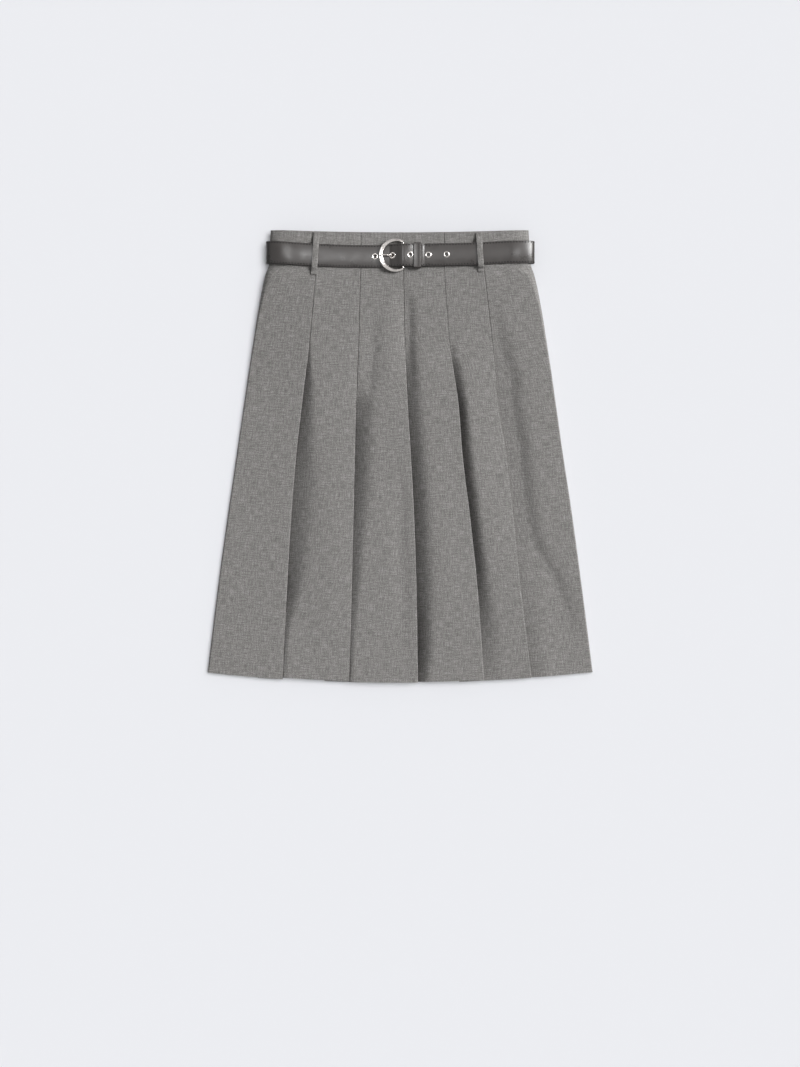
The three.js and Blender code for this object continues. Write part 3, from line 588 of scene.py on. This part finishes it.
def makePanel(panel, isFront):
    # the weave's coordinates are lengths along the cloth
    centre, down = panelCentre(panel, isFront, skirt["frontStep"] if isFront else skirt["backStep"],
                               2 if isFront else 1)
    lengths = np.linalg.norm(np.diff(centre, axis=1), axis=-1)
    across = np.concatenate([np.zeros((len(centre), 1)), np.cumsum(lengths, axis=1)], axis=1)
    across -= across[:, across.shape[1] // 2][:, None] + panel * skirt["patternShift"]
    along = np.broadcast_to(down * mm, across.shape)
    uv = np.stack([across, along], axis=-1)
    side = "front" if isFront else "back"
    name = f"{side}_panel_{panel + 1}"
    piece = fit(shell("cloth_" + name, centre, skirt["thickness"] * mm, woolCloth, uv), name)
    return piece


for isFront in (True, False):
    for panel in range(lastPanel + 1):
        makePanel(panel, isFront)
print("twelve panels made")

belt = {
    "width": 32, "thickness": 1.8, "edge": 0.75, "gap": 0.3,
    "leftEnd": -191.5, "rightEnd": 192.5, "endReach": 38,    # where the strap turns, and how long each turn is
    "tip": 116, "turnBackEnd": 17,           # x of the strap's two ends
    "cloth": 22, "backLoops": 1.6,           # heights of the cloth under the front and the back of the strap
    "barX": 4.5, "barRadius": 1.1,
    "backSag": 3,
}
half = belt["thickness"] / 2
frontStrap = belt["cloth"] + belt["gap"] + half
backStrap = belt["backLoops"] + belt["gap"] + half
strapStep = belt["thickness"] + belt["gap"]
wrapRadius = belt["barRadius"] + belt["gap"] + half
barHeight = frontStrap + wrapRadius
overBar = barHeight + wrapRadius
keeper = {
    "left": 19.3, "right": 30, "down": 37.2, "halfWidth": 18.4, "thickness": 1.2, "corner": 1.6,
    "stitchX": 26.6, "stitchReach": 14.5, "pitch": 2.6, "radius": 0.42, "length": 1.7,
}
# real belt stitches lie about 3 mm apart, drawn coarser so that they show
stitches = {"pitch": 4.2, "radius": 0.85, "length": 2.3, "inset": 2, "proud": 0.04}
inKeeper = belt["cloth"] + 2 * belt["gap"] + keeper["thickness"] + half
# the belt's centre line on the front: x and down.  waves: x and how much the strap stands off the cloth
beltPlaces = [(-192, 31.3), (-124, 35.9), (-75, 38), (-35, 38.4), (-10, 37.1), (41, 36.4), (99, 35), (160, 31.9),
              (192, 31.2)]
beltWaves = [(-192, 0), (-168, 1.6), (-158, 1.5), (-140, 0.8), (-110, 0.5), (-60, 0), (120, 0), (150, 0.3),
             (162, 0.5), (192, 0)]


def beltCentre(x, height):
    # how far down the strap lies: the front's curve, blended by height into the back's parabola
    front = through(*np.transpose(beltPlaces), x)
    back = beltPlaces[0][1] + belt["backSag"] * (1 - (x / belt["rightEnd"]) ** 2)
    return mix(back, front, smooth((height - backStrap) / (frontStrap - backStrap)))


def beltLift(x, height):
    # the front strap's gentle waves; the back stays flat
    return through(*np.transpose(beltWaves), x) * smooth((height - backStrap) / (frontStrap - backStrap))


tipRoute = np.array([
    (-60, frontStrap), (-36, frontStrap), (-15.8, frontStrap), (-10.4, frontStrap + 1.85), (-4, frontStrap + 4),
    (0.5, overBar + strapStep - 0.8), (belt["barX"], overBar + strapStep + 0.15), (10, overBar + strapStep - 0.5),
    (17, inKeeper + strapStep + 0.6), (18.8, inKeeper + strapStep), (30.5, inKeeper + strapStep),
    (36, frontStrap + strapStep), (60, frontStrap + strapStep), (belt["tip"], frontStrap + strapStep)])


def strapRoute():
    # the inner end passes under the bar and over itself, then right round the waist to the tip
    endWidth, endHeight = belt["endReach"] - half, (frontStrap - backStrap) / 2
    middle = (frontStrap + backStrap) / 2
    corners = np.concatenate([
        [(belt["turnBackEnd"], frontStrap)], arc(belt["barX"], barHeight, wrapRadius, wrapRadius, 270, 90, 12),
        [(10, overBar - 0.6), (17, inKeeper + 0.6), (18.8, inKeeper), (30.5, inKeeper), (36, frontStrap),
         (95, frontStrap)],
        arc(belt["rightEnd"] - belt["endReach"], middle, endWidth, endHeight, 90, -90, 24),
        [(0, backStrap)],
        arc(belt["leftEnd"] + belt["endReach"], middle, endWidth, endHeight, 270, 90, 24),
        [(-95, frontStrap)], tipRoute])
    flat = alongRoute(corners, 0.8)
    x, height = flat[:, 0], flat[:, 1]
    return np.stack([x, beltCentre(x, height), height + beltLift(x, height)], axis=-1)


def makeStrap():
    # the strap's section along its route, with a hole cut for each eyelet
    route = strapRoute()
    ahead = headings(route[:, [0, 2]])
    normal = np.stack([-ahead[:, 1], 0 * ahead[:, 0], ahead[:, 0]], axis=-1)
    # the normal is a quarter turn from the heading, so it points away from the waist all the way round
    across = np.tile([0.0, 1.0, 0.0], (len(route), 1))
    section = roundedBar(belt["width"], belt["thickness"], belt["edge"])
    strap = ribbon("strap", route, across, normal, section, beltLeather)
    cutter = makePiece("holes", *holeShapes(), beltLeather)
    cut = strap.modifiers.new("holes", "BOOLEAN")
    cut.object = cutter
    cut.solver = "EXACT"
    bpy.context.view_layer.objects.active = strap
    with bpy.context.temp_override(object=strap, active_object=strap, selected_objects=[strap]):
        bpy.ops.object.modifier_apply(modifier=cut.name)
    bpy.data.objects.remove(cutter)
    strap.data.set_sharp_from_angle(angle=math.radians(35))
    fit(strap, "belt_strap")
    return route, normal


eyelets = {
    "hole": 2.4, "tube": 3.1, "flange": 4.6, "rim": 0.65,    # radii, and the rim's height
    "xs": (-35.6, -10.4, 14.3, 40.6, 66.4),
    "bite": 0.1, "cutReach": 1.2,            # how much tighter the hole is than the tube, and its cutter's reach
}


def onTip(x):
    # height and slope of the tip's stretch
    fine = alongRoute(tipRoute, 0.5)
    height = np.interp(x, fine[:, 0], fine[:, 1])
    ahead = np.interp(x + 1, fine[:, 0], fine[:, 1]) - np.interp(x - 1, fine[:, 0], fine[:, 1])
    return height + float(beltLift(np.array(x), np.array(height))), math.atan2(ahead, 2)


def holeShapes():
    # a round rod through the strap at each eyelet, square to the strap's slope there
    spokes = 24
    angle = np.linspace(0, 2 * math.pi, spokes, endpoint=False)
    ring = eyelets["tube"] - eyelets["bite"]
    points, sides, caps = [], [], []
    for index, x in enumerate(eyelets["xs"]):
        height, slope = onTip(x)
        for end in (-eyelets["cutReach"], eyelets["cutReach"]):
            points.append(np.stack([x + ring * np.cos(angle) * math.cos(slope) - end * math.sin(slope),
                                    beltCentre(np.array(x), np.array(height)) + ring * np.sin(angle),
                                    height + ring * np.cos(angle) * math.sin(slope) + end * math.cos(slope)],
                                   axis=-1))
        grid = np.arange(2 * spokes).reshape(2, spokes) + index * 2 * spokes
        sides.append(quadsOf(grid, closedAcross=True))
        caps += [grid[:1, ::-1], grid[1:]]
    flat = np.concatenate(points)
    return place(flat[:, 0], flat[:, 1], flat[:, 2]), [np.concatenate(sides), np.concatenate(caps)]


def stitchRow(name, centre, ahead, normal, radius, length, material):
    # short dashes of thread, one at each centre: the radius times the root of 1 less t to the fourth, for t from
    # -1 to 1 along the dash, and flattened on the leather
    rings, spokes, flatness = 7, 8, 0.45
    along = np.linspace(-1, 1, rings)
    turn = np.linspace(0, 2 * math.pi, spokes, endpoint=False)
    thick = radius * np.sqrt(np.maximum(1 - along**4, 0.02))
    side = np.cross(normal, ahead)
    points = (centre[:, None, None] + ahead[:, None, None] * (along * length / 2)[None, :, None, None]
              + side[:, None, None] * (thick[:, None] * np.cos(turn))[None, :, :, None]
              + normal[:, None, None] * (thick[:, None] * np.sin(turn) * flatness)[None, :, :, None])
    grid = np.arange(len(centre) * rings * spokes).reshape(len(centre), rings, spokes)
    sides = np.concatenate([quadsOf(one, closedAcross=True) for one in grid])
    caps = np.concatenate([grid[:, 0, ::-1], grid[:, -1]])
    flat = points.reshape(-1, 3)
    piece = makePiece(name, place(flat[:, 0], flat[:, 1], flat[:, 2]), [sides, caps], material)
    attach(piece, "root")
    return piece


def stitchBelt(route, normal):
    # lockstitch rows near both edges, on the outer side from under the tip right round to the tip
    chord = np.concatenate([[0], np.cumsum(np.linalg.norm(np.diff(route, axis=0), axis=1))])
    first = chord[np.argmax((route[:, 0] > belt["tip"] + 4) & (route[:, 2] > frontStrap - 2))]
    places = np.arange(first, chord[-1] - 3, stitches["pitch"])
    centre, heading, up = (
        np.stack([np.interp(places, chord, values[:, k]) for k in range(3)], axis=-1)
        for values in (route, headings(route), normal))
    edge = belt["width"] / 2 - stitches["inset"]
    rows = [centre + up * (half + stitches["proud"]) + [0, side * edge, 0] for side in (-1, 1)]
    stitchRow("belt_stitches", np.concatenate(rows), np.tile(heading, (2, 1)), np.tile(up, (2, 1)),
              stitches["radius"], stitches["length"], darkThread)


def makeKeeper():
    # a leather band round the strap: a flat section along a rectangle with round corners
    low = belt["cloth"] + belt["gap"] + keeper["thickness"] / 2
    high = inKeeper + strapStep + half + belt["gap"] + keeper["thickness"] / 2
    corner, reach = keeper["corner"], keeper["halfWidth"] - keeper["thickness"] / 2
    loop = np.concatenate([
        arc(-reach + corner, low + corner, corner, corner, 270, 180, 6),
        arc(-reach + corner, high - corner, corner, corner, 180, 90, 6),
        arc(reach - corner, high - corner, corner, corner, 90, 0, 6),
        arc(reach - corner, low + corner, corner, corner, 0, -90, 6)])
    middle = (keeper["left"] + keeper["right"]) / 2
    route = np.stack([np.full(len(loop), middle), keeper["down"] - loop[:, 0], loop[:, 1]], axis=-1)
    ahead = headings(loop, closed=True)
    normal = np.stack([0 * ahead[:, 0], ahead[:, 1], ahead[:, 0]], axis=-1)
    across = np.tile([1.0, 0.0, 0.0], (len(route), 1))
    section = roundedBar(keeper["right"] - keeper["left"], keeper["thickness"], 0.5)
    fit(ribbon("keeper", route, across, normal, section, beltLeather, closed=True), "belt_keeper")
    downs = np.arange(-keeper["stitchReach"], keeper["stitchReach"], keeper["pitch"])
    count, face = len(downs), high + keeper["thickness"] / 2
    centre = np.stack([np.full(count, keeper["stitchX"]), keeper["down"] + downs, np.full(count, face)],
                      axis=-1)
    stitchRow("keeper_stitches", centre, np.tile([0.0, 1.0, 0.0], (count, 1)),
              np.tile([0.0, 0.0, 1.0], (count, 1)), keeper["radius"], keeper["length"], darkThread)


beltRoute, beltNormal = makeStrap()
stitchBelt(beltRoute, beltNormal)
makeKeeper()
print("belt made")

ring = {
    "x": -6.7, "down": 37, "outer": 23.9,
    "leftWidth": 6.3, "endWidth": 3.4, "leftTall": 4, "endTall": 2.8,
    "groove": 1.1, "grooveAt": -0.1, "grooveWide": 0.28,     # depth in mm; place and width in half widths
    "barHalf": 18, "barSpokes": 24,
}
prong = {"radius": 1.0, "hookStart": -120, "tip": -28.6, "step": 0.35}


def makeEyelet(index, x):
    # lathe: a tube through the strap with a rolled rim on the face
    height, slope = onTip(x)
    hole, tube, flange, rim = (eyelets[key] for key in ("hole", "tube", "flange", "rim"))
    face = half + 0.02
    roll = arc((hole + flange) / 2, face, (flange - hole) / 2, rim, 180, 0, 10)
    profile = np.concatenate([[(hole, -half)], roll, [(tube, face), (tube, -half)]])
    turn = np.linspace(0, 2 * math.pi, 40, endpoint=False)
    radius, up = profile[:, 0][:, None], profile[:, 1][:, None]
    side, lift = radius * np.cos(turn), up + 0 * turn
    points = np.stack([x + side * math.cos(slope) - lift * math.sin(slope),
                       beltCentre(np.array(x), np.array(height)) + radius * np.sin(turn),
                       height + side * math.sin(slope) + lift * math.cos(slope)], axis=-1).reshape(-1, 3)
    grid = np.arange(len(points)).reshape(len(profile), len(turn))
    piece = makePiece(f"ring_{index + 1}", place(points[:, 0], points[:, 1], points[:, 2]),
                      [quadsOf(grid, closedAcross=True, closedAlong=True)], buckleMetal)
    fit(piece, f"eyelet_{index + 1}")


def makeRing():
    # a horseshoe whose section is a low dome with a groove along its crown; the groove fades out to the ends
    endRadius = ring["outer"] - ring["endWidth"] / 2
    endAngle = math.acos((belt["barX"] - ring["x"]) / endRadius)
    angle = np.linspace(endAngle, 2 * math.pi - endAngle, 121)
    leftness = (1 - np.cos(angle)) / 2
    share = smooth((leftness - 0.2) / 0.8)
    width = mix(ring["endWidth"], ring["leftWidth"], share)[:, None]
    tall = mix(ring["endTall"], ring["leftTall"], share)[:, None]
    leftMiddle = frontStrap + half + belt["gap"] + ring["leftTall"] / 2
    middle = mix(barHeight, leftMiddle, share)[:, None]
    turn = np.linspace(0, 2 * math.pi, 32, endpoint=False)[None, :]
    across, lift = np.cos(turn), np.sin(turn)
    groove = np.exp(-((across - ring["grooveAt"]) / ring["grooveWide"]) ** 2)
    dent = ring["groove"] * share[:, None] * groove * (lift > 0)
    radius = ring["outer"] - width / 2 + width / 2 * across
    height = middle + tall / 2 * np.sign(lift) * np.abs(lift) ** 0.8 - dent
    points = np.stack([ring["x"] + radius * np.cos(angle[:, None]),
                       ring["down"] - radius * np.sin(angle[:, None]), height], axis=-1).reshape(-1, 3)
    grid = np.arange(len(points)).reshape(len(angle), turn.shape[1])
    # the straight bar between the horseshoe's ends is a plain rod in the same mesh
    spokes = ring["barSpokes"]
    bar = arc(belt["barX"], barHeight, belt["barRadius"], belt["barRadius"], 0, 345, spokes - 1)
    ends = np.stack([np.stack([bar[:, 0], np.full(spokes, ring["down"] + end), bar[:, 1]], axis=-1)
                     for end in (-ring["barHalf"], ring["barHalf"])])
    barGrid = np.arange(2 * spokes).reshape(2, spokes) + len(points)
    points = np.concatenate([points, ends.reshape(-1, 3)])
    faces = [quadsOf(grid, closedAcross=True), grid[:1, ::-1], grid[-1:],
             quadsOf(barGrid, closedAcross=True)[:, ::-1], barGrid[:1], barGrid[1:, ::-1]]
    horseshoe = makePiece("horseshoe", place(points[:, 0], points[:, 1], points[:, 2]), faces, buckleMetal,
                          sharp=60)
    fit(horseshoe, "buckle_frame")


def makeProng():
    # a round wire hooked round the bar, up through the second eyelet and along to the horseshoe; both ends are
    # rounded by the root of 1 less the square of what is left to the end
    wrap = belt["barRadius"] + belt["gap"] + prong["radius"]
    resting = frontStrap + half + 2 * belt["gap"] + ring["leftTall"] + prong["radius"] - 0.3
    hole = eyelets["xs"][1]
    corners = np.concatenate([arc(belt["barX"], barHeight, wrap, wrap, prong["hookStart"], 90, 16), [
        (1.5, overBar - 1.3), (-2, overBar - 2.7), (-5.5, overBar - 3.9), (hole + 2.3, frontStrap + 0.1),
        (hole, frontStrap + 1.6), (hole - 1.9, frontStrap + 3.6), (hole - 4.6, resting - 0.8),
        (-20, resting + 0.1), (-26, resting), (prong["tip"], resting - 0.1)]])
    flat = alongRoute(corners, prong["step"])
    route = np.stack([flat[:, 0], np.full(len(flat), ring["down"]), flat[:, 1]], axis=-1)
    ahead = headings(flat)
    normal = np.stack([-ahead[:, 1], 0 * ahead[:, 0], ahead[:, 0]], axis=-1)
    across = np.tile([0.0, 1.0, 0.0], (len(route), 1))
    order = np.arange(len(route))
    left = np.minimum(order, order[::-1]) * prong["step"] / prong["radius"]
    scale = np.sqrt(np.clip(1 - (1 - np.minimum(left, 1)) ** 2, 0.03, 1))
    section = arc(0, 0, prong["radius"], prong["radius"], 0, 345, 23)
    tongue = ribbon("tongue", route, across, normal, section, buckleMetal, sharp=60, scale=scale)
    fit(tongue, "buckle_prong")


for index, x in enumerate(eyelets["xs"]):
    makeEyelet(index, x)
makeRing()
makeProng()
print("metal made")

loop = {
    "width": 8.6, "thickness": 1.4, "edge": 0.6,
    "slope": 4, "arch": 2, "droop": 0.2,     # length of the sewn ends, and the bend at the belt's edges
    "seat": 0.45,                            # room between the strip and what it lies on
    "tacks": 5, "tackReach": 2.6, "tackRadius": 0.22, "tackLength": 1.6,
}
# x and down of each loop's top end, then of its bottom end
loopPlaces = {
    "front_loop_left": (-118.7, 3.5, -122.6, 64), "front_loop_right": (112.2, 4.5, 115.8, 60),
    "back_loop_left": (-114, 4, -117, 60), "back_loop_right": (114, 4, 117, 60),
}


def makeLoop(name, topX, topDown, bottomX, bottomDown):
    # a folded strip of the cloth, sewn flat above and below the belt and arched over it
    isFront = name.startswith("front")
    flip = 1 if isFront else -1
    thick = loop["thickness"] / 2
    # right of the buckle the front loop goes over two layers of strap
    layers = strapStep if topX > belt["barX"] and isFront else 0
    beltFace = frontStrap + layers if isFront else backStrap
    lift = float(beltLift(np.array(topX), np.array(beltFace))) if isFront else 0
    over = beltFace + lift + flip * (half + loop["seat"] + thick)
    shoulder = over - flip * loop["droop"]
    centre = float(beltCentre(np.array(topX), np.array(frontStrap if isFront else backStrap)))
    first, last = centre - belt["width"] / 2, centre + belt["width"] / 2

    def onCloth(down):
        under = [row["faces"][0] if isFront else row["back"] for row in levels]
        cloth = through(column(levels, "down"), under, down)
        return float(cloth) + flip * (loop["seat"] + thick)

    downs = [topDown, topDown + loop["slope"], first - loop["arch"] / 2, first + loop["arch"],
             last - loop["arch"], last + loop["arch"] / 2, bottomDown - loop["slope"], bottomDown]
    heights = [onCloth(downs[0]), onCloth(downs[1]), shoulder, over,
               over, shoulder, onCloth(downs[6]), onCloth(downs[7])]
    line = alongRoute(np.stack([downs, heights], axis=-1), 0.7)
    x = mix(topX, bottomX, (line[:, 0] - topDown) / (bottomDown - topDown))
    route = np.stack([x, line[:, 0], line[:, 1]], axis=-1)
    ahead = headings(line)
    normal = np.stack([0 * x, -ahead[:, 1], ahead[:, 0]], axis=-1)
    across = np.tile([1.0, 0.0, 0.0], (len(route), 1))
    section = roundedBar(loop["width"], loop["thickness"], loop["edge"])
    piece = ribbon("strip_" + name, route, across, normal, section, woolCloth)
    fit(piece, name)
    # what shows of the strip is one folded width of it
    # a row of slanted tacks near each end
    count = loop["tacks"]
    for end in (2, -3):
        tacks = np.linspace(-loop["tackReach"], loop["tackReach"], count)
        centres = route[end] + np.stack([tacks, 0 * tacks, 0 * tacks + flip * (thick + 0.02)], axis=-1)
        stitchRow(f"tack_{name}_{end}", centres, np.tile([0.35, 0.94, 0.0], (count, 1)),
                  np.tile([0.0, 0.0, float(flip)], (count, 1)), loop["tackRadius"], loop["tackLength"],
                  greyThread)


for name, spots in loopPlaces.items():
    makeLoop(name, *spots)
print("loops made")

studio = {
    "floor": "#e9eaee", "floorReach": 6.0,   # metres from the middle
    "speckle": 2,                            # mm
    "world": 0.27, "sun": 4.27, "tableSun": 2.575,
    "leftGloss": 1.8, "leftStrip": 14.0, "rightStrip": 8.0,
    "frameWidth": 1144, "waistAboveMiddle": 433.3,           # what the camera takes in, in mm
}


def makeStudio():
    # flat pale blue-grey paint, matt
    floorMaterial, tree, shader = newMaterial("painted table")
    at = addNode(tree, "ShaderNodeTexCoord").outputs["Object"]
    speckle = addNode(tree, "ShaderNodeTexNoise", Vector=at, Scale=1 / (studio["speckle"] * mm)).outputs[0]
    bump = addNode(tree, "ShaderNodeBump", Height=speckle, Strength=0.02, Distance=0.05 * mm)
    tree.links.new(bump.outputs[0], shader.inputs["Normal"])
    shader.inputs["Base Color"].default_value = colour(studio["floor"])
    shader.inputs["Roughness"].default_value = 0.9
    shader.inputs["Specular IOR Level"].default_value = 0.1
    reach = studio["floorReach"]
    corners = np.array([[-reach, -reach, 0], [reach, -reach, 0], [reach, reach, 0], [-reach, reach, 0]])
    corners[:, 2] = cadBox[0][2] - 0.3 * mm
    floor = makePiece("floor", corners, [np.array([[0, 1, 2, 3]])], floorMaterial)

    world = bpy.data.worlds.new("studio")
    world.use_nodes = True
    bpy.context.scene.world = world
    # gloss sees a bright band of wall under a dim ceiling, so the metal's crown is dark between bright lines
    room = world.node_tree
    rays = addNode(room, "ShaderNodeLightPath").outputs["Is Glossy Ray"]
    facing = addNode(room, "ShaderNodeTexCoord").outputs["Generated"]
    aim = addNode(room, "ShaderNodeSeparateXYZ", Vector=facing)
    walls = addNode(room, "ShaderNodeValToRGB", Fac=aim.outputs["Z"])
    stops = walls.color_ramp.elements
    stops[0].position, stops[0].color = 0.3, (0.25, 0.25, 0.25, 1)
    stops[1].position, stops[1].color = 0.99, (0.22, 0.22, 0.22, 1)
    stops.new(0.55).color = (1.0, 1.0, 1.0, 1)
    stops.new(0.93).color = (1.0, 1.0, 1.0, 1)
    seen = addNode(room, "ShaderNodeMix", {"data_type": "RGBA"}, Factor=rays)
    seen.inputs[6].default_value = (studio["world"],) * 3 + (1,)
    room.links.new(walls.outputs[0], seen.inputs[7])
    room.links.new(seen.outputs[2], room.nodes["Background"].inputs[0])

    def addLight(name, kind, at, target, **settings):
        # one lamp at a place, turned to face its target
        light = bpy.data.lights.new(name, kind)
        for key, value in settings.items():
            setattr(light, key, value)
        lamp = bpy.data.objects.new(name, light)
        lamp.location = at
        lamp.rotation_euler = (Vector(target) - Vector(at)).to_track_quat("-Z", "Y").to_euler()
        bpy.context.scene.collection.objects.link(lamp)
        return lamp

    # the key light rakes across the cloth and lights only the garment; the table has a steeper one of its own,
    # so that its shadows stay short
    key = addLight("key", "SUN", (0.769, 0.311, 0.559), (0, 0, 0), energy=studio["sun"], angle=math.radians(26))
    table = addLight("table", "SUN", (0.347, 0.14, 0.927), (0, 0, 0), energy=studio["tableSun"],
                     angle=math.radians(45))
    onTable = bpy.data.collections.new("table only")
    onTable.objects.link(floor)
    onGarment = bpy.data.collections.new("garment only")
    for piece in bpy.context.scene.objects:
        if piece.type == "MESH" and piece != floor:
            onGarment.objects.link(piece)
    table.light_linking.receiver_collection = onTable
    key.light_linking.receiver_collection = onGarment
    # cards overhead, seen only in the gloss of leather and metal
    for name, at, wide, power in (
            ("left card", (-0.24, 0.68, 2.6), 0.36, studio["leftGloss"]),
            ("left strip", (-0.42, 0.68, 2.6), 0.12, studio["leftStrip"]),
            ("right strip", (0.93, 0.68, 2.6), 0.13, studio["rightStrip"])):
        card = addLight(name, "AREA", at, (at[0] / 3, 0.29, 0), energy=power, shape="RECTANGLE",
                        size=wide, size_y=0.6)
        card.visible_diffuse = False

    camera = bpy.data.cameras.new("camera")
    camera.lens = 85
    camera.sensor_fit = "HORIZONTAL"
    camera.clip_end = 50
    eye = bpy.data.objects.new("camera", camera)
    # straight overhead, with the named width in view at the height of the cloth
    distance = camera.lens / camera.sensor_width * studio["frameWidth"] * mm
    eye.location = (shiftX * mm, (waistY - studio["waistAboveMiddle"]) * mm, distance + 14 * mm)
    bpy.context.scene.collection.objects.link(eye)
    bpy.context.scene.camera = eye
    bpy.context.scene.view_settings.view_transform = "Standard"


makeStudio()
print("studio set")
